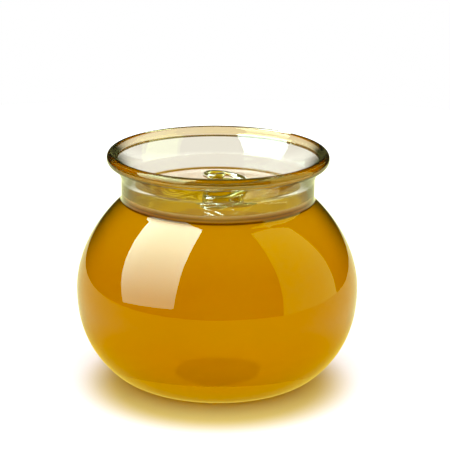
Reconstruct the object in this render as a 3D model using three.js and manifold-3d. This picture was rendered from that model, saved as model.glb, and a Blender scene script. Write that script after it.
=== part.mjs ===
// A globe jar of clear glass, filled with honey to just inside its neck.
// Millimetres, +Z up. The origin is the middle of the underside, where the jar rests.
import * as THREE from "three";
import { mergeVertices } from "three/addons/utils/BufferGeometryUtils.js";
import Module from "manifold-3d";

const wasm = await Module();
wasm.setup();

// Driving dimensions of the glass
const GLOBE_RADIUS = 50;
const EQUATOR_Z = 33;
const LOWER_RISE = 41; // half axis below the equator, of which the flat base cuts off the end
const LOWER_POWER = 2.27; // 2 is an ellipse, more is squarer
const UPPER_RISE = 45.5;
const UPPER_POWER = 1.86;
const WALL = 2.1;
const FLOOR_Z = 11; // inside of the base, which is thick as in heavy glass jars
const FLOOR_POWER = 4.5;
const HEEL = 3; // rounding between the base and the globe
const NECK_RADIUS = 34;
const NECK_FILLET = 1.1; // rounding where the shoulder meets the neck, outside
const THROAT_ROUNDING = 2; // the same corner inside
const FLARE_Z = 72.2; // the neck opens out from here
const BEAD_RADIUS = 37.4; // middle of the rim's bead
const BEAD_Z = 80;
const BEAD_HALF_WIDTH = 1.7;
const BEAD_HALF_HEIGHT = 2.1;

// Driving dimensions of the honey
const GAP = 0.3; // clearance to the glass
const HONEY_Z = 67.5; // level of the surface
const MENISCUS_RISE = 0.6;
const MENISCUS_WIDTH = 2.6;
const FOLD_RADIUS = 0.95; // half the thickness of the folded rope of honey
const FOLD_TURNS = 5.2;
const FOLD_START_ANGLE = -2.6;
const FOLD_BASE = new THREE.Vector3(2.8, -14, HONEY_Z + 0.1);
const FOLD_TOP = new THREE.Vector3(1.6, -3.5, HONEY_Z + 7.4);
const FOLD_LEAN = 1.5; // more than 1: the lower turns lie closer together than the upper ones
const FOLD_BASE_REACH = 7.1; // distance of the rope from the heap's middle line
const FOLD_TOP_REACH = 6.5;
const FOLD_DRAWN_IN = 0.93; // from here on the rope runs in to the middle
const FOLD_WOBBLE = 0.42; // share by which that distance swings at the foot
const WOBBLE_LEFT = 0.15; // share of the swing that is left on top
const WOBBLES_PER_TURN = 2.3;
const WOBBLE_PHASE = 1;
const MOUND_RADIUS = 7.6; // soft mound that the folds lie on
const MOUND_RISE = 5.6;
const MOUND_PLACE = 0.6; // share of the way from the heap's foot to its top, seen from above

// How finely the curves are divided
const SEGMENTS = 60; // round the axis
const GLOBE_STEPS = 8; // over each half of the globe's height
const CORNER_STEPS = 3;
const FLARE_STEPS = 4;
const BEAD_STEPS = 12;

const NECK_INSIDE = NECK_RADIUS - WALL;

const point = (r, z) => new THREE.Vector2(r, z);

// One side of the globe, as radius and height from the equator
const globeSide = (radius, rise, power) => ({ radius, rise, power });
const OUTSIDE_LOWER = globeSide(GLOBE_RADIUS, LOWER_RISE, LOWER_POWER);
const OUTSIDE_UPPER = globeSide(GLOBE_RADIUS, UPPER_RISE, UPPER_POWER);

// The inside of the globe, drawn in from the glass by a clearance
function insideLower(clearance) {
  return globeSide(GLOBE_RADIUS - WALL - clearance, EQUATOR_Z - FLOOR_Z - clearance, FLOOR_POWER);
}

function insideUpper(clearance) {
  const drawnIn = WALL + clearance;
  return globeSide(GLOBE_RADIUS - drawnIn, UPPER_RISE - drawnIn, UPPER_POWER);
}

// Height from the equator at which a side has the given radius
function heightAt(side, radius) {
  return side.rise * (1 - (radius / side.radius) ** side.power) ** (1 / side.power);
}

function radiusAt(side, height) {
  return side.radius * (1 - (height / side.rise) ** side.power) ** (1 / side.power);
}

// Points of a side between two heights from the equator, evenly spread over its curve
function globeArc(side, fromHeight, toHeight, upwards) {
  const angleAt = (height) => Math.asin((height / side.rise) ** (side.power / 2));
  const from = angleAt(fromHeight);
  const to = angleAt(toHeight);
  return Array.from({ length: GLOBE_STEPS + 1 }, (_, i) => {
    const angle = from + ((to - from) * i) / GLOBE_STEPS;
    const r = side.radius * Math.max(Math.cos(angle), 0) ** (2 / side.power);
    const h = side.rise * Math.sin(angle) ** (2 / side.power);
    return point(r, upwards ? EQUATOR_Z + h : EQUATOR_Z - h);
  });
}

// A rounded corner between two points of a profile, without the two points themselves
function corner(from, at, to) {
  return new THREE.QuadraticBezierCurve(from, at, to).getPoints(CORNER_STEPS).slice(1, -1);
}

// The neck's opening out: nearly upright at first, then leaning outward to the bead
function flare(fromRadius, fromZ, toRadius, toZ) {
  return Array.from({ length: FLARE_STEPS }, (_, i) => {
    const t = i / FLARE_STEPS;
    return point(fromRadius + (toRadius - fromRadius) * t ** 1.5, fromZ + (toZ - fromZ) * t);
  });
}

function bead(fromAngle, toAngle) {
  return Array.from({ length: BEAD_STEPS + 1 }, (_, i) => {
    const angle = fromAngle + ((toAngle - fromAngle) * i) / BEAD_STEPS;
    return point(
      BEAD_RADIUS + BEAD_HALF_WIDTH * Math.cos(angle),
      BEAD_Z + BEAD_HALF_HEIGHT * Math.sin(angle),
    );
  });
}

// A closed solid from a profile that starts and ends on the axis, turned to stand along +Z
function turned(profile) {
  profile[0].x = 0;
  profile[profile.length - 1].x = 0;
  return new THREE.LatheGeometry(profile, SEGMENTS).rotateX(Math.PI / 2);
}

function outsideOfGlass() {
  const footRadius = radiusAt(OUTSIDE_LOWER, EQUATOR_Z);
  const heelEnd = point(radiusAt(OUTSIDE_LOWER, EQUATOR_Z - HEEL), HEEL);
  const footEnd = point(footRadius - HEEL, 0);
  const shoulderZ = EQUATOR_Z + heightAt(OUTSIDE_UPPER, NECK_RADIUS);
  const filletStart = heightAt(OUTSIDE_UPPER, NECK_RADIUS + NECK_FILLET);
  const shoulder = globeArc(OUTSIDE_UPPER, 0, filletStart, true).slice(1);
  const filletEnd = point(NECK_RADIUS, shoulderZ + NECK_FILLET);
  const beadStart = -1.9;
  const beadMeets = bead(beadStart, Math.PI);
  return [
    point(0, 0),
    footEnd,
    ...corner(footEnd, point(footRadius, 0), heelEnd),
    ...globeArc(OUTSIDE_LOWER, EQUATOR_Z - HEEL, 0, false),
    ...shoulder,
    ...corner(shoulder[shoulder.length - 1], point(NECK_RADIUS, shoulderZ), filletEnd),
    filletEnd,
    ...flare(NECK_RADIUS, FLARE_Z, beadMeets[0].x, beadMeets[0].y),
    ...beadMeets,
  ];
}

function insideOfGlass() {
  const lower = insideLower(0);
  const upper = insideUpper(0);
  const throatZ = EQUATOR_Z + heightAt(upper, NECK_INSIDE);
  const roundingStart = point(NECK_INSIDE, throatZ + THROAT_ROUNDING);
  const belowThroat = heightAt(upper, NECK_INSIDE + THROAT_ROUNDING);
  const arc = globeArc(upper, belowThroat, 0, true);
  const beadInside = BEAD_RADIUS - BEAD_HALF_WIDTH;
  const flareZ = FLARE_Z + WALL / 2;
  return [
    ...flare(NECK_INSIDE, flareZ, beadInside, BEAD_Z).reverse(),
    roundingStart,
    ...corner(roundingStart, point(NECK_INSIDE, throatZ), arc[0]),
    ...arc,
    ...globeArc(lower, 0, lower.rise, false).slice(1),
  ];
}

function jarGeometry() {
  return turned([...outsideOfGlass(), ...insideOfGlass()]);
}

// The honey without its folds: the inside of the glass up to the level, with a meniscus at the wall
function pouredHoney() {
  const lower = insideLower(GAP);
  const upper = insideUpper(GAP);
  const wallRadius = NECK_INSIDE - GAP;
  const throatZ = EQUATOR_Z + heightAt(upper, wallRadius);
  const throatEnd = point(wallRadius, throatZ + THROAT_ROUNDING);
  const arc = globeArc(upper, 0, heightAt(upper, wallRadius + THROAT_ROUNDING), true);
  const meniscusSteps = 3;
  const meniscus = Array.from({ length: meniscusSteps + 1 }, (_, i) => {
    const t = i / meniscusSteps;
    return point(wallRadius - MENISCUS_WIDTH * t, HONEY_Z + MENISCUS_RISE * (1 - t) ** 2);
  });
  return turned([
    ...globeArc(lower, 0, lower.rise, false).reverse(),
    ...arc.slice(1),
    ...corner(arc[arc.length - 1], point(wallRadius, throatZ), throatEnd),
    throatEnd,
    ...meniscus,
    point(0, HONEY_Z),
  ]);
}

// Middle line of the rope that folded down in turns onto the surface, t from 0 at its foot to 1 on top
function foldPoint(t) {
  const angle = FOLD_START_ANGLE + 2 * Math.PI * FOLD_TURNS * t;
  const climb = t ** FOLD_LEAN;
  const swing = FOLD_WOBBLE * THREE.MathUtils.lerp(1, WOBBLE_LEFT, t);
  const wobble = 1 + swing * Math.sin(WOBBLES_PER_TURN * angle + WOBBLE_PHASE);
  const drawIn = 1 - Math.max(0, (t - FOLD_DRAWN_IN) / (1 - FOLD_DRAWN_IN));
  const reach = THREE.MathUtils.lerp(FOLD_BASE_REACH, FOLD_TOP_REACH, climb) * wobble * drawIn;
  const middle = FOLD_BASE.clone().lerp(FOLD_TOP, climb);
  return middle.add(new THREE.Vector3(reach * Math.cos(angle), reach * Math.sin(angle), 0));
}

// The rope between two places on its middle line, a little longer at both ends so that pieces join
function foldPiece(from, to, steps) {
  const overlap = 0.004;
  const places = Array.from({ length: steps + 1 }, (_, i) => {
    const t = from - overlap + ((to - from + 2 * overlap) * i) / steps;
    return foldPoint(THREE.MathUtils.clamp(t, 0, 1));
  });
  const section = new THREE.Shape().absarc(0, 0, FOLD_RADIUS, 0, 2 * Math.PI);
  return new THREE.ExtrudeGeometry(section, {
    steps,
    curveSegments: 3,
    bevelEnabled: false,
    extrudePath: new THREE.CatmullRomCurve3(places),
  });
}

function foldEnd() {
  const end = foldPoint(1);
  return new THREE.SphereGeometry(FOLD_RADIUS, 8, 6).translate(end.x, end.y, end.z);
}

// The soft mound under the folds, sunk a little into the surface
function mound() {
  const sunk = 1;
  const steps = 5;
  const profile = Array.from({ length: steps + 1 }, (_, i) => {
    const angle = (i / steps) * (Math.PI / 2);
    return point(MOUND_RADIUS * Math.cos(angle), MOUND_RISE * Math.sin(angle));
  });
  const middle = FOLD_BASE.clone().lerp(FOLD_TOP, MOUND_PLACE);
  return new THREE.LatheGeometry([point(0, -sunk), point(MOUND_RADIUS, -sunk), ...profile], 24)
    .rotateX(Math.PI / 2)
    .translate(middle.x, middle.y, HONEY_Z);
}

function solidOf(geometry) {
  const plain = geometry.clone();
  plain.deleteAttribute("normal");
  plain.deleteAttribute("uv");
  const merged = mergeVertices(plain, 1e-4);
  return new wasm.Manifold(
    new wasm.Mesh({
      numProp: 3,
      vertProperties: merged.attributes.position.array,
      triVerts: new Uint32Array(merged.index.array),
    }),
  );
}

function geometryOf(solid) {
  const mesh = solid.getMesh();
  const geometry = new THREE.BufferGeometry();
  geometry.setAttribute("position", new THREE.BufferAttribute(mesh.vertProperties, 3));
  geometry.setIndex(new THREE.BufferAttribute(mesh.triVerts, 1));
  const faceted = geometry.toNonIndexed();
  faceted.computeVertexNormals();
  return faceted;
}

function honeyGeometry() {
  const pieces = 14;
  const stepsEach = 6;
  let solid = solidOf(pouredHoney()).add(solidOf(mound())).add(solidOf(foldEnd()));
  for (let i = 0; i < pieces; i++) {
    solid = solid.add(solidOf(foldPiece(i / pieces, (i + 1) / pieces, stepsEach)));
  }
  return geometryOf(solid);
}

function named(name, geometry, material) {
  const mesh = new THREE.Mesh(geometry, material);
  mesh.name = name;
  return mesh;
}

const glass = new THREE.MeshStandardMaterial({
  color: 0xe8f0ea,
  roughness: 0.04,
  metalness: 0,
  transparent: true,
  opacity: 0.3,
});
const honeyGold = new THREE.MeshStandardMaterial({ color: 0xc88205, roughness: 0.12, metalness: 0 });

const group = new THREE.Group();
group.name = "honey_jar";
group.add(named("jar", jarGeometry(), glass));
group.add(named("honey", honeyGeometry(), honeyGold));

export default group;
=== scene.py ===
"""A globe jar of clear glass, filled with golden honey that has folded onto itself on the surface.

Shapes are worked out in millimetres with numpy and put into the meshes in metres.
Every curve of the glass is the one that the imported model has, only finer.
"""

import math

import bpy
import numpy as np
from mathutils import Matrix, Vector


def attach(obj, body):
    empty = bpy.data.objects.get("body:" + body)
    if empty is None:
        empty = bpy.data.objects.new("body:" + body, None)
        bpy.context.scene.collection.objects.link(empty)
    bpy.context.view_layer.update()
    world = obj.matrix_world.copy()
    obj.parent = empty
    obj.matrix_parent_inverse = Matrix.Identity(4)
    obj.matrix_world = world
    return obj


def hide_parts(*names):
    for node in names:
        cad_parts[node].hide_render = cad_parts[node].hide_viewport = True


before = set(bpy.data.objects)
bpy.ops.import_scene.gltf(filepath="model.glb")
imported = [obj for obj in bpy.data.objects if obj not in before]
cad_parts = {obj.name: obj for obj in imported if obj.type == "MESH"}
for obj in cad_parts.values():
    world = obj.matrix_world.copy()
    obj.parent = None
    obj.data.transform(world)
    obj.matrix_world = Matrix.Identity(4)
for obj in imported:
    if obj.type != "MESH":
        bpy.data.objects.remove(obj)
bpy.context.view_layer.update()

MM = 0.001

# Glass
GLOBE_RADIUS = 50.0
EQUATOR_Z = 33.0
LOWER_RISE = 41.0
LOWER_POWER = 2.27
UPPER_RISE = 45.5
UPPER_POWER = 1.86
WALL = 2.1
FLOOR_Z = 11.0
FLOOR_POWER = 4.5
HEEL = 3.0
NECK_RADIUS = 34.0
NECK_INSIDE = NECK_RADIUS - WALL
NECK_FILLET = 1.1
THROAT_ROUNDING = 2.0
FLARE_Z = 72.2
BEAD_RADIUS = 37.4
BEAD_Z = 80.0
BEAD_HALF_WIDTH = 1.7
BEAD_HALF_HEIGHT = 2.1
BEAD_START = -1.9  # angle round the bead at which the outside of the neck meets it
BEAD_STEPS = 44

# Honey
HONEY_Z = 67.5
INTO_WALL = 0.4  # how far the honey reaches into the glass, so that no air shows between them
MENISCUS_RISE = 0.3
MENISCUS_WIDTH = 1.6
FOLD_RADIUS = 0.95
FOLD_TURNS = 5.2
FOLD_START_ANGLE = -2.6
FOLD_BASE = np.array([2.8, -14.0, HONEY_Z + 0.1])
FOLD_TOP = np.array([1.6, -3.5, HONEY_Z + 7.4])
FOLD_LEAN = 1.5
FOLD_BASE_REACH = 7.1
FOLD_TOP_REACH = 6.5
FOLD_DRAWN_IN = 0.93
FOLD_WOBBLE = 0.42
WOBBLE_LEFT = 0.15
WOBBLES_PER_TURN = 2.3
WOBBLE_PHASE = 1.0
MOUND_RADIUS = 7.6
MOUND_RISE = 5.6
MOUND_PLACE = 0.6  # share of the way up the heap at which the mound has its middle
HEAP_MIDDLE = FOLD_BASE + (FOLD_TOP - FOLD_BASE) * MOUND_PLACE
MOUND_BLENDED = 1.6  # how near in height mound and surface are where one is rounded into the other
FOLD_SWINGS = [(0.08, 40, 0), (0.05, 97, 1)]  # of its thickness: share, radians over the whole rope, start
FOLD_ROUNDED_OVER = 16  # rings at each end
PAINTED_SHADE_DISC_RADIUS = 28.5  # middle of the honey's underside, which carries painted shade seen from above

# Relief of the honey's surface
SWELL_RISE = 0.5
SWELL_REACH = 15.0
RIPPLE_HEIGHT = 0.09
RIPPLE_REACH = 22.0
RIPPLE_LENGTH = 1.9  # for one radian of the ripple
LONG_WAVE_HEIGHT = 0.05
LONG_WAVES = [(0.31, 0.12, 0.7), (0.13, -0.29, 2.1)]  # radians per millimetre along x and y, and start
SETTLES_WITHIN = 6.0  # distance from the glass over which all of it settles to the level

# Camera, as fitted to the outlines of rim, neck, globe and base
CAMERA_DISTANCE = 720.0
CAMERA_PITCH = 17.615
CAMERA_ROLL = 0.465
CAMERA_HEIGHT_AIMED_AT = 42.0
CAMERA_LENS = 161.85
AIM_TO_THE_RIGHT = 0.003775  # how far the middle of the frame lies beside the jar, per unit of distance
AIM_UPWARD = 0.017430

# How much a surface bends light. Where glass and honey touch, neither bends it, because both are alike.
GLASS_IOR = 1.5
HONEY_IOR = 1.49
TOUCHING_IOR = 1.0

# Tints of the clear glass: thick and low, above the equator, in the neck, clouded, and of the rim's bead,
# which is painted golden, standing in for the honey seen through it, with a painted golden reflection
GLASS_LOW = (0.93, 0.955, 0.93)
GLASS_MIDDLE = (0.965, 0.98, 0.965)
GLASS_NECK = (0.955, 0.975, 0.955)
GLASS_CLOUDED = (0.99, 0.99, 0.985)
GLASS_RIM_PAINTED_HONEY = (0.93, 0.80, 0.50)
RIM_PAINTED_MIRROR_TINT = (1.0, 0.88, 0.60)

# Painted shade on glass seen edge on, for the darker studio that edge-on glass shows, by how far a surface
# is turned away: 0 faces the viewer, 1 is edge on
EDGE_STARTS = 0.45
EDGE_FULL = 0.85
PAINTED_EDGE_SHADE = (0.02, 0.03, 0.006)
EDGE_DARK_FROM_Z = 36.0  # lower down, the edges mirror the pale table and stay pale
EDGE_DARK_FULL_Z = 58.0
# The same painted edge shade on the rim's bead
RIM_EDGE_STARTS = 0.38
RIM_EDGE_FULL = 0.70
RIM_PAINTED_EDGE_SHADE = (0.004, 0.005, 0.001)

# Rings of painted shade where the shoulder bends into the neck, standing in for the dark that the thick
# bend of glass shows there: height, half width and tint
PAINTED_SHADE_SHOULDER_RINGS = [
    (66.5, 1.6, (0.36, 0.22, 0.03)),
    (65.4, 0.55, (0.07, 0.04, 0.006)),
    (66.7, 0.35, (0.14, 0.08, 0.01)),
]

# Colours of the honey: its surface, its side from low to high, and its underside over the floor
HONEY_TOP = (0.74, 0.60, 0.08)
HONEY_TOP_CLOUDED = (0.26, 0.19, 0.02)
HONEY_LOW = (0.79, 0.36, 0.004)
HONEY_MIDDLE = (0.93, 0.52, 0.004)
HONEY_HIGH = (0.98, 0.88, 0.40)
HONEY_CLOUDED = (0.84, 0.47, 0.008)
HONEY_UNDERSIDE = (0.98, 0.56, 0.03)
HONEY_UNDERSIDE_CLOUDED = (0.97, 0.60, 0.03)
HONEY_UNDERSIDE_PAINTED_SHADE = (0.40, 0.11, 0.006)  # painted shade seen from inside the honey, standing in for the shadowed table under the jar

# Heights at which one colour starts to turn into the next, and has done so
LOW_ENDS_Z = 42.0
MIDDLE_FULL_Z = 66.0
MIDDLE_ENDS_Z = 64.8
HIGH_FULL_Z = 67.2

# Stage
STAGE_RADIUS = 430.0
PANEL_DISTANCE = 1000.0
PAPER_MIRRORED = (1.24, 1.26, 0.66)  # how bright the paper looks when the glass mirrors it
PAPER_MIRRORED_INSIDE = (0.12, 0.09, 0.02)
PAINTED_SHADOW_GLOW = (0.72, 0.60, 0.22)  # painted golden shadow on the paper, standing in for the jar's shadow and the light that comes down through the honey
PAINTED_SHADOW_GLOW_MIRRORED = (0.87, 0.70, 0.29)  # the painted golden shadow's tint, where the glass mirrors the paper
# Reach of the painted golden shadow, mirrored and on the paper, and how far its middle lies towards the
# camera
GLOW_MIRRORED_WITHIN = 50.0
GLOW_MIRRORED_ENDS_AT = 110.0
GLOW_TOWARDS_CAMERA = 12.0
GLOW_FULL_WITHIN = 34.0
GLOW_ENDS_AT = 52.0
BACKDROP = (0.93, 0.87, 0.76)  # what is seen through the glass, about the horizon
BACKDROP_OVERHEAD = (0.26, 0.23, 0.15)
BESIDE = (0.05, 0.045, 0.015)  # what is seen through the glass towards the sides of the studio
BESIDE_UP_TO = 0.05  # share of a direction that runs away from the camera
BEHIND_FROM = 0.45
BACKDROP_MIRRORED = (3.0, 3.15, 2.8)  # the same, as the far part of the honey's surface mirrors it
PATCH_DARK = (0.05, 0.04, 0.01)  # what the near part of that surface mirrors, in patches
PATCH_BRIGHT = (0.80, 0.66, 0.12)
DARK_STUDIO = (0.05, 0.045, 0.02)  # what the outside of the glass mirrors beside the panels
SATURATION = 1.06

# Light of the studio by the upward part of a direction, which runs from -1 to 1: for scattered rays,
# for rays through the glass, and for those that were mirrored on their way through
SKY = [(-1, (0.9,) * 3), (0.0, (0.9,) * 3), (0.6, (1.6,) * 3), (1, (2.4,) * 3)]
SKY_THROUGH = [(-1, BACKDROP), (0.34, BACKDROP), (0.60, BACKDROP_OVERHEAD), (1, BACKDROP_OVERHEAD)]
SKY_MIRRORED = [(-1, BACKDROP), (0.1, BACKDROP), (0.2, BACKDROP_MIRRORED), (0.45, BACKDROP_OVERHEAD)]


# Curves of the profile, as arrays of radius and height

def globe_arc(radius, rise, power, from_height, to_height, steps, upwards):
    """Side of the globe: (r / radius)^power + (h / rise)^power = 1, with h the height from the equator,
    evenly divided in the angle whose sine is (h / rise)^(power / 2)."""
    limits = np.arcsin((np.array([from_height, to_height]) / rise) ** (power / 2))
    angle = np.linspace(limits[0], limits[1], steps + 1)
    r = radius * np.clip(np.cos(angle), 0, None) ** (2 / power)
    h = rise * np.sin(angle) ** (2 / power)
    return np.column_stack([r, EQUATOR_Z + h if upwards else EQUATOR_Z - h])


def height_at(radius, rise, power, at_radius):
    return rise * (1 - (at_radius / radius) ** power) ** (1 / power)


def radius_at(radius, rise, power, at_height):
    return radius * (1 - (at_height / rise) ** power) ** (1 / power)


def line(start, end, steps):
    t = np.linspace(0, 1, steps + 1)[:, None]
    return (1 - t) * np.array(start, float) + t * np.array(end, float)


def corner(start, at, end, steps):
    """Rounded corner: a quadratic Bezier curve from start to end that leans towards at."""
    t = np.linspace(0, 1, steps + 1)[:, None]
    start, at, end = np.array(start, float), np.array(at, float), np.array(end, float)
    return (1 - t) ** 2 * start + 2 * t * (1 - t) * at + t**2 * end


def flare(start, end, steps):
    """The neck's opening out: height runs evenly and radius with the power 1.5, so it starts upright."""
    t = np.linspace(0, 1, steps + 1)
    return np.column_stack([
        start[0] + (end[0] - start[0]) * t**1.5,
        start[1] + (end[1] - start[1]) * t,
    ])


def bead(from_angle, to_angle, steps):
    """The rim's bead: an ellipse, upright, between two angles round its middle."""
    angle = np.linspace(from_angle, to_angle, steps + 1)
    return np.column_stack([
        BEAD_RADIUS + BEAD_HALF_WIDTH * np.cos(angle),
        BEAD_Z + BEAD_HALF_HEIGHT * np.sin(angle),
    ])


def joined(*curves):
    """One curve out of several that meet end to end, each shared point kept once."""
    return np.concatenate([curves[0]] + [c[1:] for c in curves[1:]])


def outside_of_glass():
    lower = (GLOBE_RADIUS, LOWER_RISE, LOWER_POWER)
    upper = (GLOBE_RADIUS, UPPER_RISE, UPPER_POWER)
    foot = radius_at(*lower, EQUATOR_Z)
    heel_end = (radius_at(*lower, EQUATOR_Z - HEEL), HEEL)
    shoulder_z = EQUATOR_Z + height_at(*upper, NECK_RADIUS)
    shoulder = globe_arc(*upper, 0, height_at(*upper, NECK_RADIUS + NECK_FILLET), 56, True)
    neck_start = (NECK_RADIUS, shoulder_z + NECK_FILLET)
    rim = bead(BEAD_START, math.pi, BEAD_STEPS)
    return joined(
        line((0, 0), (foot - HEEL, 0), 10),
        corner((foot - HEEL, 0), (foot, 0), heel_end, 10),
        globe_arc(*lower, EQUATOR_Z - HEEL, 0, 48, False),
        shoulder,
        corner(shoulder[-1], (NECK_RADIUS, shoulder_z), neck_start, 8),
        line(neck_start, (NECK_RADIUS, FLARE_Z), 6),
        flare((NECK_RADIUS, FLARE_Z), rim[0], 16),
        rim,
    )


def inside_of_globe(into_wall, steps):
    """The inside of the glass from the throat down to the middle of the floor,
    moved into the wall by a distance."""
    drawn_in = WALL - into_wall
    upper = (GLOBE_RADIUS - drawn_in, UPPER_RISE - drawn_in, UPPER_POWER)
    lower = (GLOBE_RADIUS - drawn_in, EQUATOR_Z - FLOOR_Z + into_wall, FLOOR_POWER)
    throat = NECK_INSIDE + into_wall
    throat_z = EQUATOR_Z + height_at(*upper, throat)
    rounding_start = (throat, throat_z + THROAT_ROUNDING)
    arc = globe_arc(*upper, height_at(*upper, throat + THROAT_ROUNDING), 0, steps, True)
    lower_arc = globe_arc(*lower, 0, EQUATOR_Z - FLOOR_Z + into_wall, steps, False)
    return joined(corner(rounding_start, (throat, throat_z), arc[0], 8), arc, lower_arc)


def glass_profile():
    """The whole profile of the jar, how many of its rows come before the honey's upper edge inside,
    and the rows at which the rim's bead starts and ends."""
    contact_z = HONEY_Z + MENISCUS_RISE
    inside = inside_of_globe(0, 56)
    flare_start = (NECK_INSIDE, FLARE_Z + WALL / 2)
    bead_end = (BEAD_RADIUS - BEAD_HALF_WIDTH, BEAD_Z)
    above = joined(
        outside_of_glass(),
        flare(flare_start, bead_end, 16)[::-1],
        line(flare_start, (NECK_INSIDE, contact_z), 6),
    )
    whole = joined(above, line((NECK_INSIDE, contact_z), inside[0], 4), inside)
    rim_end = len(outside_of_glass())
    return whole, len(above), rim_end - BEAD_STEPS, rim_end


# Meshes

def mesh_piece(name, points, faces, materials, material_rows=None):
    """A smooth mesh object from points in millimetres, with a material index for each face."""
    mesh = bpy.data.meshes.new(name)
    mesh.from_pydata(points * MM, [], faces)
    for material in materials:
        mesh.materials.append(material)
    if material_rows is not None:
        mesh.polygons.foreach_set("material_index", np.asarray(material_rows, np.int32))
    mesh.polygons.foreach_set("use_smooth", np.ones(len(mesh.polygons), bool))
    mesh.validate()
    mesh.update()
    piece = bpy.data.objects.new(name, mesh)
    bpy.context.scene.collection.objects.link(piece)
    return piece


def closed_rings(rings, first_pole, last_pole):
    """Points and faces of a closed surface: a pole, rings of equal length one after another, and a pole.
    Ring i, place j joins ring i + 1, place j + 1, and the last place of each ring joins its first."""
    count, around = rings.shape[:2]
    points = np.concatenate([rings.reshape(-1, 3), [first_pole, last_pole]])
    place = np.arange(around)
    following = (place + 1) % around
    row = np.arange(count - 1)[:, None] * around
    quads = np.stack([row + place, row + following, row + around + following, row + around + place], -1)
    start, end = count * around, count * around + 1
    last = (count - 1) * around
    first_fan = np.column_stack([np.full(around, start), following, place])
    last_fan = np.column_stack([np.full(around, end), last + place, last + following])
    return points, first_fan.tolist() + quads.reshape(-1, 4).tolist() + last_fan.tolist()


def slow_waves(angle, z, seed):
    """Smooth unevenness: the sum of sin(turns * angle + lean * z + start) / turns^0.5 for six whole numbers
    of turns round, each with a random lean and start, divided by scale so that it stays about -1 to 1."""
    scale = 2.6
    rng = np.random.default_rng(seed)
    total = np.zeros(np.broadcast(angle, z).shape)
    for turns in (2, 3, 5, 7, 9, 12):
        lean = rng.uniform(-0.12, 0.12)
        start = rng.uniform(0, 2 * math.pi)
        total = total + np.sin(turns * angle + lean * z + start) / turns**0.5
    return total / scale


def glass_jar(materials):
    """The jar: its profile turned round the axis, in glass that is plain, against honey, or the rim's bead.
    Inside, slow waves of height wander are added to the radius. They grow evenly over the first
    rows_to_grow rows of the inside, and fade evenly over the last fades_within before the axis."""
    around = 200
    wander = 0.09
    rows_to_grow = 12
    fades_within = 12
    profile, rows_above_honey, rim_start, rim_end = glass_profile()
    angle = np.linspace(0, 2 * math.pi, around, endpoint=False)
    radius = np.repeat(profile[1:-1, 0:1], around, 1)
    z = np.repeat(profile[1:-1, 1:2], around, 1)
    rows = np.arange(len(radius))[:, None]
    outside_rows = len(outside_of_glass())
    inside = np.clip((rows - outside_rows) / rows_to_grow, 0, 1)
    fade = np.clip(radius / fades_within, 0, 1)
    radius = radius + wander * inside * fade * slow_waves(angle[None, :], z, seed=4)
    rings = np.stack([radius * np.cos(angle), radius * np.sin(angle), z], -1)
    points, faces = closed_rings(rings, [0, 0, profile[0, 1]], [0, 0, profile[-1, 1]])
    first_against_honey = around * rows_above_honey - around
    material_rows = np.zeros(len(faces), int)
    material_rows[first_against_honey:] = 1
    material_rows[around * rim_start:around * rim_end] = 2
    return mesh_piece("glass_jar", points, faces, materials, material_rows)


def fold_point(t):
    """Middle line of the rope of honey that folded down in turns, t from 0 at its foot to 1 on top.
    Its angle grows evenly with t, and its middle runs from FOLD_BASE to FOLD_TOP by t^FOLD_LEAN.
    Its reach runs from one reach to the other the same way, wobbles by a sine of the angle whose swing
    shrinks evenly to WOBBLE_LEFT of itself, and is drawn in to nothing from FOLD_DRAWN_IN on."""
    angle = FOLD_START_ANGLE + 2 * math.pi * FOLD_TURNS * t
    climb = t**FOLD_LEAN
    swing = FOLD_WOBBLE * (1 + (WOBBLE_LEFT - 1) * t)
    wobble = 1 + swing * np.sin(WOBBLES_PER_TURN * angle + WOBBLE_PHASE)
    draw_in = 1 - np.clip((t - FOLD_DRAWN_IN) / (1 - FOLD_DRAWN_IN), 0, 1)
    reach = (FOLD_BASE_REACH + (FOLD_TOP_REACH - FOLD_BASE_REACH) * climb) * wobble * draw_in
    middle = FOLD_BASE + (FOLD_TOP - FOLD_BASE) * climb[:, None]
    return middle + np.column_stack([reach * np.cos(angle), reach * np.sin(angle), np.zeros(len(t))])


def honey_folds(materials):
    """The rope: circles round its middle line and square to it, of FOLD_RADIUS times 1 plus the sines of
    FOLD_SWINGS. The first and last FOLD_ROUNDED_OVER circles shrink as those of a ball do."""
    along, around = 900, 20
    least_share = 0.02
    tip = 0.05
    t = np.linspace(0, 1, along)
    middle = fold_point(t)
    ahead = np.gradient(middle, axis=0)
    ahead /= np.linalg.norm(ahead, axis=1)[:, None]
    sideways = np.cross(ahead, [0.0, 0.0, 1.0])
    sideways /= np.linalg.norm(sideways, axis=1)[:, None]
    upwards = np.cross(sideways, ahead)
    swing = sum(share * np.sin(radians * t + start) for share, radians, start in FOLD_SWINGS)
    from_end = np.clip(np.minimum(t, 1 - t) * along / FOLD_ROUNDED_OVER, 0, 1)
    thick = FOLD_RADIUS * (1 + swing) * np.sqrt(np.clip(1 - (1 - from_end) ** 2, least_share, 1))
    angle = np.linspace(0, 2 * math.pi, around, endpoint=False)[None, :, None]
    across = np.cos(angle) * sideways[:, None] + np.sin(angle) * upwards[:, None]
    rings = middle[:, None] + thick[:, None, None] * across
    points, faces = closed_rings(rings, middle[0] - tip * ahead[0], middle[-1] + tip * ahead[-1])
    return mesh_piece("honey_folds", points, faces, materials)


def soft_maximum(a, b, width):
    """The larger of two heights. Where they are within width of each other, width / 4 times the square of
    (width less their distance) / width is added, which rounds the edge between them."""
    near = np.clip(width - np.abs(a - b), 0, None) / width
    return np.maximum(a, b) + near**2 * width / 4


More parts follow.
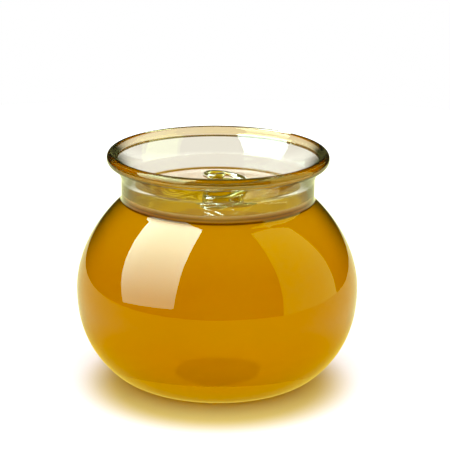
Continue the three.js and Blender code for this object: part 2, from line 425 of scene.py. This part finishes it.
def honey_surface_height(x, y):
    """Height of the honey's upper surface, with d the distance from the heap and g that from the glass:
    HONEY_Z, plus a swell of SWELL_RISE * e^-((d / SWELL_REACH)^2), plus ripples of
    RIPPLE_HEIGHT * e^-(d / RIPPLE_REACH) * cos(d / RIPPLE_LENGTH), plus LONG_WAVE_HEIGHT times the sines
    of LONG_WAVES. Under the rope stands a mound of height
    HONEY_Z - mound_foot + (MOUND_RISE + mound_foot) * sqrt(1 - (d / MOUND_RADIUS)^2). Over the last
    SETTLES_WITHIN before the glass all this settles evenly to HONEY_Z, and over the last MENISCUS_WIDTH
    the surface rises by MENISCUS_RISE * (1 - g / MENISCUS_WIDTH)^2."""
    mound_foot = 1.0
    from_heap = np.hypot(x - HEAP_MIDDLE[0], y - HEAP_MIDDLE[1])
    swell = SWELL_RISE * np.exp(-((from_heap / SWELL_REACH) ** 2))
    ripples = RIPPLE_HEIGHT * np.exp(-from_heap / RIPPLE_REACH) * np.cos(from_heap / RIPPLE_LENGTH)
    waves = sum(LONG_WAVE_HEIGHT * np.sin(a * x + b * y + start) for a, b, start in LONG_WAVES)
    height = HONEY_Z + swell + ripples + waves
    dome = np.sqrt(np.clip(1 - (from_heap / MOUND_RADIUS) ** 2, 0, 1))
    mound = HONEY_Z - mound_foot + (MOUND_RISE + mound_foot) * dome
    height = soft_maximum(height, mound, MOUND_BLENDED)
    from_glass = NECK_INSIDE - np.hypot(x, y)
    height = HONEY_Z + (height - HONEY_Z) * np.clip(from_glass / SETTLES_WITHIN, 0, 1)
    return height + MENISCUS_RISE * (1 - np.clip(from_glass / MENISCUS_WIDTH, 0, 1)) ** 2


def honey_body(materials):
    """The honey: rings round the heap out over the surface to the glass, then down the side INTO_WALL deep
    in the glass, and in over the floor. On the surface each ring is a share of the way from heap to wall:
    (ring / rings)^closer_in."""
    around = 300
    over_surface = 130
    closer_in = 1.15
    wall_radius = NECK_INSIDE + INTO_WALL
    heap = HEAP_MIDDLE[:2]
    direction = np.linspace(0, 2 * math.pi, around, endpoint=False)
    aim = np.column_stack([np.cos(direction), np.sin(direction)])
    along = aim @ heap
    to_wall = -along + np.sqrt(along**2 - heap @ heap + NECK_INSIDE**2)
    share = np.linspace(0, 1, over_surface + 1)[1:] ** closer_in
    x = heap[0] + share[:, None] * to_wall * aim[:, 0]
    y = heap[1] + share[:, None] * to_wall * aim[:, 1]
    surface = np.stack([x, y, honey_surface_height(x, y)], -1)
    wall_angle = np.arctan2(y[-1], x[-1])
    contact_z = HONEY_Z + MENISCUS_RISE
    below = inside_of_globe(INTO_WALL, 50)[:-1]
    side = joined(line((wall_radius, contact_z), below[0], 3), below)
    rings = np.stack([
        side[:, 0:1] * np.cos(wall_angle),
        side[:, 0:1] * np.sin(wall_angle),
        np.repeat(side[:, 1:2], around, 1),
    ], -1)
    heap_top = honey_surface_height(heap[0:1], heap[1:2])[0]
    rings = np.concatenate([surface, rings])[::-1]
    points, faces = closed_rings(rings, [0, 0, FLOOR_Z - INTO_WALL], [heap[0], heap[1], heap_top])
    first_on_top = len(faces) - around * over_surface
    material_rows = np.ones(len(faces), int)
    material_rows[first_on_top:] = 0
    on_floor = int(np.sum(side[:, 0] < PAINTED_SHADE_DISC_RADIUS))
    material_rows[:around * on_floor] = 2
    return mesh_piece("honey_fill", points, faces, materials, material_rows)


# Materials

def node(tree, kind, **values):
    """A node with its settings and the values of its unlinked inputs, named with spaces as underscores."""
    made = tree.nodes.new(kind)
    for name, value in values.items():
        socket = made.inputs.get(name.replace("_", " "))
        if hasattr(made, name):
            setattr(made, name, value)
        elif socket is not None:
            socket.default_value = value
        else:
            raise ValueError(f"{kind} has neither a setting nor an input named {name}")
    return made


def set_or_link(tree, socket, value):
    if isinstance(value, (float, tuple)):
        socket.default_value = value
    else:
        tree.links.new(value, socket)


def calculated(tree, operation, first, second):
    """Result of a Math node on two numbers, each either fixed or another node's output."""
    made = node(tree, "ShaderNodeMath", operation=operation)
    set_or_link(tree, made.inputs[0], first)
    set_or_link(tree, made.inputs[1], second)
    return made.outputs["Value"]


def chosen(tree, share, otherwise, seen):
    """Colour: otherwise where share is 0, seen where it is 1."""
    mix = node(tree, "ShaderNodeMix", data_type="RGBA")
    set_or_link(tree, mix.inputs["Factor"], share)
    set_or_link(tree, mix.inputs["A"], otherwise)
    set_or_link(tree, mix.inputs["B"], seen)
    return mix.outputs["Result"]


def soft_step(tree, start, end):
    """A node that rises softly from 0 at start to 1 at end."""
    return node(tree, "ShaderNodeMapRange", interpolation_type="SMOOTHSTEP", From_Min=start, From_Max=end)


def new_material(name):
    material = bpy.data.materials.new(name)
    material.use_nodes = True
    tree = material.node_tree
    shader = tree.nodes["Principled BSDF"]
    return material, tree, shader


def handled_surface_group():
    """Group: the faint unevenness of a surface that is blown or poured and then handled. Of two noises,
    one makes Roughness swing between Clean and Smeared, and one makes Height."""
    group = bpy.data.node_groups.new("handled surface", "ShaderNodeTree")
    face = group.interface
    for name in ("Clean", "Smeared", "Smear Scale", "Wave Scale"):
        face.new_socket(name, in_out="INPUT", socket_type="NodeSocketFloat")
    face.new_socket("Roughness", in_out="OUTPUT", socket_type="NodeSocketFloat")
    face.new_socket("Height", in_out="OUTPUT", socket_type="NodeSocketFloat")
    given = group.nodes.new("NodeGroupInput")
    result = group.nodes.new("NodeGroupOutput")
    place = node(group, "ShaderNodeTexCoord")
    smears = node(group, "ShaderNodeTexNoise", Detail=3.0, Distortion=0.6)
    waves = node(group, "ShaderNodeTexNoise", Detail=1.0)
    spread = node(group, "ShaderNodeMapRange", From_Min=0.5, From_Max=0.75)
    link = group.links.new
    link(place.outputs["Object"], smears.inputs["Vector"])
    link(place.outputs["Object"], waves.inputs["Vector"])
    link(given.outputs["Smear Scale"], smears.inputs["Scale"])
    link(given.outputs["Wave Scale"], waves.inputs["Scale"])
    link(smears.outputs["Fac"], spread.inputs["Value"])
    link(given.outputs["Clean"], spread.inputs["To Min"])
    link(given.outputs["Smeared"], spread.inputs["To Max"])
    link(spread.outputs["Result"], result.inputs["Roughness"])
    link(waves.outputs["Fac"], result.inputs["Height"])
    return group


def depth_of_colour_group():
    """Group: colour by height. Low turns slowly into Middle over the upper half of the globe, and Middle
    turns into High just under the neck. Clouds of another colour lie over all, as strong as Cloudiness."""
    group = bpy.data.node_groups.new("colour by height", "ShaderNodeTree")
    face = group.interface
    for name in ("Low", "Middle", "High", "Cloudy"):
        face.new_socket(name, in_out="INPUT", socket_type="NodeSocketColor")
    face.new_socket("Cloudiness", in_out="INPUT", socket_type="NodeSocketFloat")
    face.new_socket("Color", in_out="OUTPUT", socket_type="NodeSocketColor")
    given = group.nodes.new("NodeGroupInput")
    result = group.nodes.new("NodeGroupOutput")
    place = node(group, "ShaderNodeTexCoord")
    split = node(group, "ShaderNodeSeparateXYZ")
    lower = soft_step(group, LOW_ENDS_Z * MM, MIDDLE_FULL_Z * MM)
    upper = soft_step(group, MIDDLE_ENDS_Z * MM, HIGH_FULL_Z * MM)
    low_to_middle = node(group, "ShaderNodeMix", data_type="RGBA")
    to_high = node(group, "ShaderNodeMix", data_type="RGBA")
    clouds = node(group, "ShaderNodeTexNoise", Scale=22.0, Detail=2.0)
    cloud_edge = soft_step(group, start=0.38, end=0.62)
    cloud_share = node(group, "ShaderNodeMath", operation="MULTIPLY")
    clouded = node(group, "ShaderNodeMix", data_type="RGBA")
    link = group.links.new
    link(place.outputs["Object"], split.inputs["Vector"])
    link(place.outputs["Object"], clouds.inputs["Vector"])
    link(split.outputs["Z"], lower.inputs["Value"])
    link(split.outputs["Z"], upper.inputs["Value"])
    link(lower.outputs["Result"], low_to_middle.inputs["Factor"])
    link(given.outputs["Low"], low_to_middle.inputs["A"])
    link(given.outputs["Middle"], low_to_middle.inputs["B"])
    link(upper.outputs["Result"], to_high.inputs["Factor"])
    link(low_to_middle.outputs["Result"], to_high.inputs["A"])
    link(given.outputs["High"], to_high.inputs["B"])
    link(clouds.outputs["Fac"], cloud_edge.inputs["Value"])
    link(cloud_edge.outputs["Result"], cloud_share.inputs[0])
    link(given.outputs["Cloudiness"], cloud_share.inputs[1])
    link(cloud_share.outputs["Value"], clouded.inputs["Factor"])
    link(to_high.outputs["Result"], clouded.inputs["A"])
    link(given.outputs["Cloudy"], clouded.inputs["B"])
    link(clouded.outputs["Result"], result.inputs["Color"])
    return group


def add_group(tree, group, **values):
    made = tree.nodes.new("ShaderNodeGroup")
    made.node_tree = group
    for name, value in values.items():
        made.inputs[name.replace("_", " ")].default_value = value
    return made


def add_bump(tree, shader, height, distance):
    bump = node(tree, "ShaderNodeBump", Strength=1.0, Distance=distance)
    tree.links.new(height, bump.inputs["Height"])
    tree.links.new(bump.outputs["Normal"], shader.inputs["Normal"])


def height_of_surface(tree):
    """Height above the table of the place that is shaded."""
    place = node(tree, "ShaderNodeTexCoord")
    split = node(tree, "ShaderNodeSeparateXYZ")
    tree.links.new(place.outputs["Object"], split.inputs["Vector"])
    return split.outputs["Z"]


def add_painted_shade_ring(tree, colour, height, half_width, tint):
    """A soft ring of painted shade on the glass round the jar at a height, in millimetres."""
    full_share = 0.4
    away = calculated(tree, "SUBTRACT", height_of_surface(tree), height * MM)
    away = calculated(tree, "ABSOLUTE", away, 0.0)
    inside = soft_step(tree, half_width * MM, half_width * full_share * MM)
    tree.links.new(away, inside.inputs["Value"])
    return chosen(tree, inside.outputs["Result"], colour, (*tint, 1))


def add_painted_dark_edges(tree, colour, starts, full, painted_edge_shade):
    """Painted shade on glass seen edge on, for the darker studio that edge-on glass shows, which comes in
    over the upper half of the globe.
    """
    turned_away = node(tree, "ShaderNodeLayerWeight", Blend=0.5)
    dark = soft_step(tree, starts, full)
    upper = soft_step(tree, EDGE_DARK_FROM_Z * MM, EDGE_DARK_FULL_Z * MM)
    tree.links.new(turned_away.outputs["Facing"], dark.inputs["Value"])
    tree.links.new(height_of_surface(tree), upper.inputs["Value"])
    share = calculated(tree, "MULTIPLY", dark.outputs["Result"], upper.outputs["Result"])
    return chosen(tree, share, colour, (*painted_edge_shade, 1))


def plain_glass(name, ior, handled, colours, high=GLASS_NECK):
    """Clear glass with a breath of green, a little deeper low down where the wall is thick.
    Returns the material, its tree and shader, its colour, and the surface's height for a bump."""
    material, tree, shader = new_material(name)
    shader.inputs["Transmission Weight"].default_value = 1.0
    shader.inputs["IOR"].default_value = ior
    surface = add_group(tree, handled, Clean=0.0, Smeared=0.012, Smear_Scale=55.0, Wave_Scale=38.0)
    tint = add_group(
        tree, colours, Low=(*GLASS_LOW, 1), Middle=(*GLASS_MIDDLE, 1), High=(*high, 1),
        Cloudy=(*GLASS_CLOUDED, 1), Cloudiness=0.3,
    )
    tree.links.new(surface.outputs["Roughness"], shader.inputs["Roughness"])
    tree.links.new(tint.outputs["Color"], shader.inputs["Base Color"])
    return material, tree, shader, tint.outputs["Color"], surface.outputs["Height"]


def jar_glass(handled, colours):
    """Glass against air: painted shade in rings at the shoulder, and painted dark green shade where it is
    seen edge on, as clear glass looks against a bright background."""
    material, tree, shader, colour, height = plain_glass("jar glass", GLASS_IOR, handled, colours)
    # Painted shade: darker rings at the shoulder.
    for ring_height, half_width, painted_ring_shade in PAINTED_SHADE_SHOULDER_RINGS:
        colour = add_painted_shade_ring(tree, colour, ring_height, half_width, painted_ring_shade)
    # Painted shade where the glass is seen edge on.
    colour = add_painted_dark_edges(tree, colour, EDGE_STARTS, EDGE_FULL, PAINTED_EDGE_SHADE)
    tree.links.new(colour, shader.inputs["Base Color"])
    add_bump(tree, shader, height, distance=0.0002)
    return material


def jar_glass_against_honey(handled, colours):
    """Glass where honey touches it: it neither bends light nor mirrors it."""
    return plain_glass("jar glass against honey", TOUCHING_IOR, handled, colours)[0]


def jar_rim_glass(handled, colours):
    """The rim's bead: painted golden, standing in for the honey seen through it, with a painted golden
    reflection, and with painted shade, darker than the wall, where it is seen edge on.
    """
    # The bead's colour is painted golden for the honey seen through it.
    material, tree, shader, colour, height = plain_glass(
        "jar rim glass", GLASS_IOR, handled, colours, high=GLASS_RIM_PAINTED_HONEY,
    )
    # Painted golden reflection on the bead.
    shader.inputs["Specular Tint"].default_value = (*RIM_PAINTED_MIRROR_TINT, 1)
    # Painted shade where the bead is seen edge on.
    colour = add_painted_dark_edges(tree, colour, RIM_EDGE_STARTS, RIM_EDGE_FULL, RIM_PAINTED_EDGE_SHADE)
    tree.links.new(colour, shader.inputs["Base Color"])
    add_bump(tree, shader, height, distance=0.0002)
    return material


def golden_honey(name, ior, clearness, handled, colours, low, middle, high, cloudy, cloudiness):
    """Golden honey, part clear and part clouded: its colour is in what it lets through and in what it
    scatters. Returns the material, its tree and shader, its colour, and the surface's height for a bump."""
    material, tree, shader = new_material(name)
    shader.inputs["Transmission Weight"].default_value = clearness
    shader.inputs["IOR"].default_value = ior
    surface = add_group(tree, handled, Clean=0.0, Smeared=0.01, Smear_Scale=70.0, Wave_Scale=60.0)
    tint = add_group(
        tree, colours, Low=(*low, 1), Middle=(*middle, 1), High=(*high, 1),
        Cloudy=(*cloudy, 1), Cloudiness=cloudiness,
    )
    tree.links.new(surface.outputs["Roughness"], shader.inputs["Roughness"])
    tree.links.new(tint.outputs["Color"], shader.inputs["Base Color"])
    return material, tree, shader, tint.outputs["Color"], surface.outputs["Height"]


def honey_surface(handled, colours):
    """Honey against air, nearly clear, in golden and darker patches."""
    material, tree, shader, _, height = golden_honey(
        "honey surface", HONEY_IOR, 0.9, handled, colours,
        low=HONEY_TOP, middle=HONEY_TOP, high=HONEY_TOP, cloudy=HONEY_TOP_CLOUDED, cloudiness=1.0,
    )
    add_bump(tree, shader, height, distance=0.0001)
    return material


def honey_against_glass(handled, colours):
    """The side and the outer part of the underside, seen through the glass: deeper in colour low down."""
    return golden_honey(
        "honey against glass", TOUCHING_IOR, 0.6, handled, colours,
        low=HONEY_LOW, middle=HONEY_MIDDLE, high=HONEY_HIGH, cloudy=HONEY_CLOUDED, cloudiness=0.2,
    )[0]


def honey_over_floor(handled, colours):
    """The middle of the honey's underside, with painted shade: a darker colour where it is seen from inside
    the honey, standing in for the shadowed table under the jar.
    """
    material, tree, shader, colour, _ = golden_honey(
        "honey over the floor", TOUCHING_IOR, 0.85, handled, colours, low=HONEY_UNDERSIDE,
        middle=HONEY_UNDERSIDE, high=HONEY_UNDERSIDE, cloudy=HONEY_UNDERSIDE_CLOUDED, cloudiness=0.2,
    )
    side = node(tree, "ShaderNodeNewGeometry")
    # Painted shade on the side seen from inside the honey.
    colour = chosen(tree, side.outputs["Backfacing"], colour, (*HONEY_UNDERSIDE_PAINTED_SHADE, 1))
    tree.links.new(colour, shader.inputs["Base Color"])
    return material


# Stage, light and camera

def by_distance(tree, distance, full_within, ends_at, near, far):
    """Colour: near close to the jar, turning softly into far."""
    fade = soft_step(tree, full_within * MM, ends_at * MM)
    tree.links.new(distance, fade.inputs["Value"])
    return chosen(tree, fade.outputs["Result"], (*near, 1), (*far, 1))


def at_least(tree, path, depth, times):
    """1 for a ray that was mirrored, let through or scattered at least so many times, as depth says."""
    return calculated(tree, "GREATER_THAN", path.outputs[depth], times - 0.5)


def never(tree, path, depth):
    return calculated(tree, "LESS_THAN", path.outputs[depth], 0.5)


def shares_seen_in_glass(tree, path):
    """Two shares: 1 for a ray that was mirrored last, and 1 for one that was let through last.
    Both are 0 for a ray that was scattered before."""
    not_scattered = never(tree, path, "Diffuse Depth")
    mirrored = calculated(tree, "MULTIPLY", path.outputs["Is Glossy Ray"], not_scattered)
    through = calculated(tree, "MULTIPLY", path.outputs["Is Transmission Ray"], not_scattered)
    return mirrored, through


def share_behind(tree, away_from_camera):
    """1 where a direction runs away from the camera, 0 where it runs to the sides or back to it."""
    behind = soft_step(tree, BESIDE_UP_TO, BEHIND_FROM)
    tree.links.new(away_from_camera, behind.inputs["Value"])
    return behind.outputs["Result"]


def paper_in_the_glass(tree, path, place, distance):
    """The paper's glow for a ray that the glass mirrored or let through, and 1 for such a ray.
    Mirrored it is bright, and golden near the jar with the painted shadow's reflection. Through the glass
    it goes on into the backdrop."""
    # Painted reflection of the golden shadow near the jar.
    near = tuple(bright * tint for bright, tint in zip(PAPER_MIRRORED, PAINTED_SHADOW_GLOW_MIRRORED))
    mirrored = by_distance(
        tree, distance, GLOW_MIRRORED_WITHIN, GLOW_MIRRORED_ENDS_AT, near, PAPER_MIRRORED,
    )
    outward = node(tree, "ShaderNodeVectorMath", operation="NORMALIZE")
    sides = node(tree, "ShaderNodeSeparateXYZ")
    tree.links.new(place.outputs["Object"], outward.inputs[0])
    tree.links.new(outward.outputs["Vector"], sides.inputs["Vector"])
    through = chosen(tree, share_behind(tree, sides.outputs["Y"]), (*BESIDE, 1), (*BACKDROP, 1))
    was_mirrored = at_least(tree, path, "Glossy Depth", 1)
    through = chosen(tree, was_mirrored, through, (*PAPER_MIRRORED_INSIDE, 1))
    seen_mirrored, seen_through = shares_seen_in_glass(tree, path)
    seen = chosen(tree, seen_mirrored, (0.0, 0.0, 0.0, 1), mirrored)
    seen = chosen(tree, seen_through, seen, through)
    return seen, calculated(tree, "MAXIMUM", seen_mirrored, seen_through)


def pale_paper():
    """Matt white paper with a fine grain, with a painted golden shadow round the jar that stands in for the
    jar's shadow and the light that comes down through the honey.
    For rays that came by way of the glass it glows instead, as paper_in_the_glass says."""
    material, tree, shader = new_material("pale paper")
    shader.inputs["Roughness"].default_value = 1.0
    shader.inputs["Specular IOR Level"].default_value = 0.0
    shader.inputs["Emission Strength"].default_value = 1.0
    path = node(tree, "ShaderNodeLightPath")
    place = node(tree, "ShaderNodeTexCoord")
    grain = node(tree, "ShaderNodeTexNoise", Scale=900.0, Detail=2.0)
    tone = node(tree, "ShaderNodeMapRange", To_Min=0.86, To_Max=0.90)
    tree.links.new(grain.outputs["Fac"], tone.inputs["Value"])
    away = node(tree, "ShaderNodeVectorMath", operation="DISTANCE")
    away.inputs[1].default_value = (0.0, -GLOW_TOWARDS_CAMERA * MM, 0.0)
    tree.links.new(place.outputs["Object"], away.inputs[0])
    distance = away.outputs["Value"]
    # Painted golden shadow round the jar, its middle a little towards the camera.
    tint = by_distance(tree, distance, GLOW_FULL_WITHIN, GLOW_ENDS_AT, PAINTED_SHADOW_GLOW, (1.0, 1.0, 1.0))
    plain = node(tree, "ShaderNodeMix", data_type="RGBA", blend_type="MULTIPLY", Factor=1.0)
    tree.links.new(tone.outputs["Result"], plain.inputs["A"])
    tree.links.new(tint, plain.inputs["B"])
    glow, share = paper_in_the_glass(tree, path, place, distance)
    colour = chosen(tree, share, plain.outputs["Result"], (0.0, 0.0, 0.0, 1))
    tree.links.new(glow, shader.inputs["Emission Color"])
    tree.links.new(colour, shader.inputs["Base Color"])
    return material


def floor_disc():
    """Flat pale disc under the jar: rings evenly apart, from its middle out to its edge."""
    around, count = 96, 12
    below_jar = 0.02
    angle = np.linspace(0, 2 * math.pi, around, endpoint=False)
    reach = np.linspace(0, STAGE_RADIUS, count + 1)[1:, None]
    rings = np.stack([reach * np.cos(angle), reach * np.sin(angle), np.zeros((count, around))], -1)
    points = np.concatenate([rings.reshape(-1, 3), [[0, 0, 0]]]) - np.array([0, 0, below_jar])
    place = np.arange(around)
    following = (place + 1) % around
    row = np.arange(count - 1)[:, None] * around
    quads = np.stack([row + place, row + around + place, row + around + following, row + following], -1)
    fan = np.column_stack([np.full(around, count * around), place, following])
    disc = mesh_piece("floor", points, fan.tolist() + quads.reshape(-1, 4).tolist(), [pale_paper()])
    return disc


def direction(azimuth, elevation):
    """Unit vector: azimuth 0 runs towards the camera and grows to the right, in degrees."""
    a, e = math.radians(azimuth), math.radians(elevation)
    return Vector((math.sin(a) * math.cos(e), -math.cos(a) * math.cos(e), math.sin(e)))


def seen_only_mirrored(tree):
    """1 for a ray that something mirrored. 0 for one that came straight through the glass, for one that
    was let through three times or more, and for one that was scattered."""
    path = node(tree, "ShaderNodeLightPath")
    not_mirrored = never(tree, path, "Glossy Depth")
    straight_through = calculated(tree, "MULTIPLY", not_mirrored, path.outputs["Is Transmission Ray"])
    deep_inside = at_least(tree, path, "Transmission Depth", 3)
    scattered = at_least(tree, path, "Diffuse Depth", 1)
    unseen = calculated(tree, "MAXIMUM", straight_through, deep_inside)
    unseen = calculated(tree, "MAXIMUM", unseen, scattered)
    return calculated(tree, "SUBTRACT", 1.0, unseen)


def panel(name, towards, facing, half_width, half_height, roll, radiance, colour, dimmer_below):
    """Rectangular light panel, PANEL_DISTANCE from the jar in one direction, in azimuth and elevation.
    Its plane faces along another direction, its half sizes are shares of PANEL_DISTANCE, and its light
    fades to dimmer_below at its lower edge. It lights nothing directly: it is only seen mirrored."""
    normal = direction(*facing)
    across = Vector((0, 0, 1)).cross(normal).normalized()
    upright = normal.cross(across)
    turn = math.radians(roll)
    right = across * math.cos(turn) + upright * math.sin(turn)
    up = upright * math.cos(turn) - across * math.sin(turn)
    light = bpy.data.lights.new(name, "AREA")
    light.shape = "RECTANGLE"
    reach = PANEL_DISTANCE * MM
    light.size = 2 * half_width * reach
    light.size_y = 2 * half_height * reach
    light.energy = radiance * light.size * light.size_y * math.pi
    light.color = colour
    light.use_nodes = True
    tree = light.node_tree
    emission = next(n for n in tree.nodes if n.type == "EMISSION")
    place = node(tree, "ShaderNodeNewGeometry")
    split = node(tree, "ShaderNodeSeparateXYZ")
    fade = soft_step(tree, start=0.0, end=1.0)
    fade.inputs["To Min"].default_value = dimmer_below
    link = tree.links.new
    link(place.outputs["Parametric"], split.inputs["Vector"])
    link(split.outputs["Y"], fade.inputs["Value"])
    strength = calculated(tree, "MULTIPLY", fade.outputs["Result"], seen_only_mirrored(tree))
    link(strength, emission.inputs["Strength"])
    lamp = bpy.data.objects.new(name, light)
    bpy.context.scene.collection.objects.link(lamp)
    place_at = Vector((0, 0, EQUATOR_Z * MM)) + direction(*towards) * reach
    turned = Matrix((right, up, normal)).transposed()
    lamp.matrix_world = Matrix.Translation(place_at) @ turned.to_4x4()
    lamp.visible_camera = False
    lamp.visible_diffuse = False
    return lamp


def ramp(tree, value, stops):
    """Colour ramp fed by a direction's upward part, which runs from -1 to 1."""
    scaled = node(tree, "ShaderNodeMapRange", From_Min=-1.0, From_Max=1.0)
    tree.links.new(value, scaled.inputs["Value"])
    made = tree.nodes.new("ShaderNodeValToRGB")
    band = made.color_ramp
    band.interpolation = "EASE"
    for index, (height, colour) in enumerate(stops):
        position = (height + 1) / 2
        stop = band.elements[index] if index < 2 else band.elements.new(position)
        stop.position = position
        stop.color = (*colour, 1)
    tree.links.new(scaled.outputs["Result"], made.inputs["Fac"])
    return made.outputs["Color"]


def patches_of_light(tree, towards):
    """Soft bright patches on dark, over all directions."""
    patches = node(tree, "ShaderNodeTexNoise", Scale=26.0, Detail=1.0)
    edge = soft_step(tree, start=0.47, end=0.57)
    tree.links.new(towards, patches.inputs["Vector"])
    tree.links.new(patches.outputs["Fac"], edge.inputs["Value"])
    return chosen(tree, edge.outputs["Result"], (*PATCH_DARK, 1), (*PATCH_BRIGHT, 1))


def studio_world():
    """Soft light from all round, most of it from above, and a plain white background. What is seen through
    the glass is bright about the horizon and dimmer overhead, and brightest where the honey mirrors it
    at a flat angle. What the outside of the glass mirrors is dark, so that the panels stand out."""
    world = bpy.data.worlds.new("soft studio")
    bpy.context.scene.world = world
    world.use_nodes = True
    tree = world.node_tree
    background = next(n for n in tree.nodes if n.type == "BACKGROUND")
    place = node(tree, "ShaderNodeTexCoord")
    split = node(tree, "ShaderNodeSeparateXYZ")
    path = node(tree, "ShaderNodeLightPath")
    tree.links.new(place.outputs["Generated"], split.inputs["Vector"])
    up = split.outputs["Z"]
    through = ramp(tree, up, SKY_THROUGH)
    through = chosen(tree, share_behind(tree, split.outputs["Y"]), (*BESIDE, 1), through)
    mirrored_near = patches_of_light(tree, place.outputs["Generated"])
    through_front = at_least(tree, path, "Transmission Depth", 3)
    mirrored_inside = chosen(tree, through_front, ramp(tree, up, SKY_MIRRORED), mirrored_near)
    was_mirrored = at_least(tree, path, "Glossy Depth", 1)
    seen_mirrored, seen_through = shares_seen_in_glass(tree, path)
    colour = chosen(tree, seen_mirrored, ramp(tree, up, SKY), (*DARK_STUDIO, 1))
    colour = chosen(tree, seen_through, colour, chosen(tree, was_mirrored, through, mirrored_inside))
    colour = chosen(tree, path.outputs["Is Camera Ray"], colour, (1, 1, 1, 1))
    tree.links.new(colour, background.inputs["Color"])


def photo_camera():
    """The camera: CAMERA_DISTANCE from a place on the jar's axis, looking down by CAMERA_PITCH and leaning
    by CAMERA_ROLL, with the middle of the frame a little beside and above that place."""
    pitch, roll = math.radians(CAMERA_PITCH), math.radians(CAMERA_ROLL)
    ahead = Vector((0, math.cos(pitch), -math.sin(pitch)))
    level = Vector((1, 0, 0))
    upright = Vector((0, math.sin(pitch), math.cos(pitch)))
    right = level * math.cos(roll) + upright * math.sin(roll)
    up = upright * math.cos(roll) - level * math.sin(roll)
    aim = (ahead + right * AIM_TO_THE_RIGHT + up * AIM_UPWARD).normalized()
    right = (right - aim * right.dot(aim)).normalized()
    up = right.cross(aim)
    data = bpy.data.cameras.new("camera")
    data.sensor_width = 36.0
    data.lens = CAMERA_LENS
    data.clip_start = 0.02
    data.clip_end = 20.0
    camera = bpy.data.objects.new("camera", data)
    bpy.context.scene.collection.objects.link(camera)
    place_at = (Vector((0, 0, CAMERA_HEIGHT_AIMED_AT)) - ahead * CAMERA_DISTANCE) * MM
    camera.matrix_world = Matrix.Translation(place_at) @ Matrix((right, up, -aim)).transposed().to_4x4()
    bpy.context.scene.camera = camera


def render_settings():
    scene = bpy.context.scene
    scene.view_settings.view_transform = "Standard"
    scene.view_settings.look = "None"
    scene.cycles.max_bounces = 24
    scene.cycles.transmission_bounces = 24
    scene.cycles.glossy_bounces = 12


def rich_colours():
    """The picture's colours are made a little stronger, as a print of such a photograph has them."""
    scene = bpy.context.scene
    scene.use_nodes = True
    tree = scene.node_tree
    tree.nodes.clear()
    rendered = node(tree, "CompositorNodeRLayers")
    stronger = node(tree, "CompositorNodeHueSat", Saturation=SATURATION)
    result = node(tree, "CompositorNodeComposite")
    tree.links.new(rendered.outputs["Image"], stronger.inputs["Image"])
    tree.links.new(stronger.outputs["Image"], result.inputs["Image"])


handled = handled_surface_group()
colours = depth_of_colour_group()

jar = glass_jar([
    jar_glass(handled, colours),
    jar_glass_against_honey(handled, colours),
    jar_rim_glass(handled, colours),
])
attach(jar, "root")
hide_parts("jar")

honey_top = honey_surface(handled, colours)
honey = honey_body([
    honey_top,
    honey_against_glass(handled, colours),
    honey_over_floor(handled, colours),
])
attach(honey, "root")
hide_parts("honey")

folds = honey_folds([honey_top])
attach(folds, "root")
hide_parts("honey")

floor_disc()
studio_world()
panel(
    "window on the left", towards=(-70.9, 35.8), facing=(-46.5, 32.6), half_width=0.494, half_height=0.685,
    roll=8.1, radiance=17.5, colour=(0.75, 1.0, 0.86), dimmer_below=0.23,
)
panel(
    "panel on the right", towards=(92.6, 35.8), facing=(45.0, -5.5), half_width=0.485, half_height=0.721,
    roll=-5.2, radiance=2.4, colour=(0.8, 1.0, 0.4), dimmer_below=0.8,
)
photo_camera()
render_settings()
rich_colours()
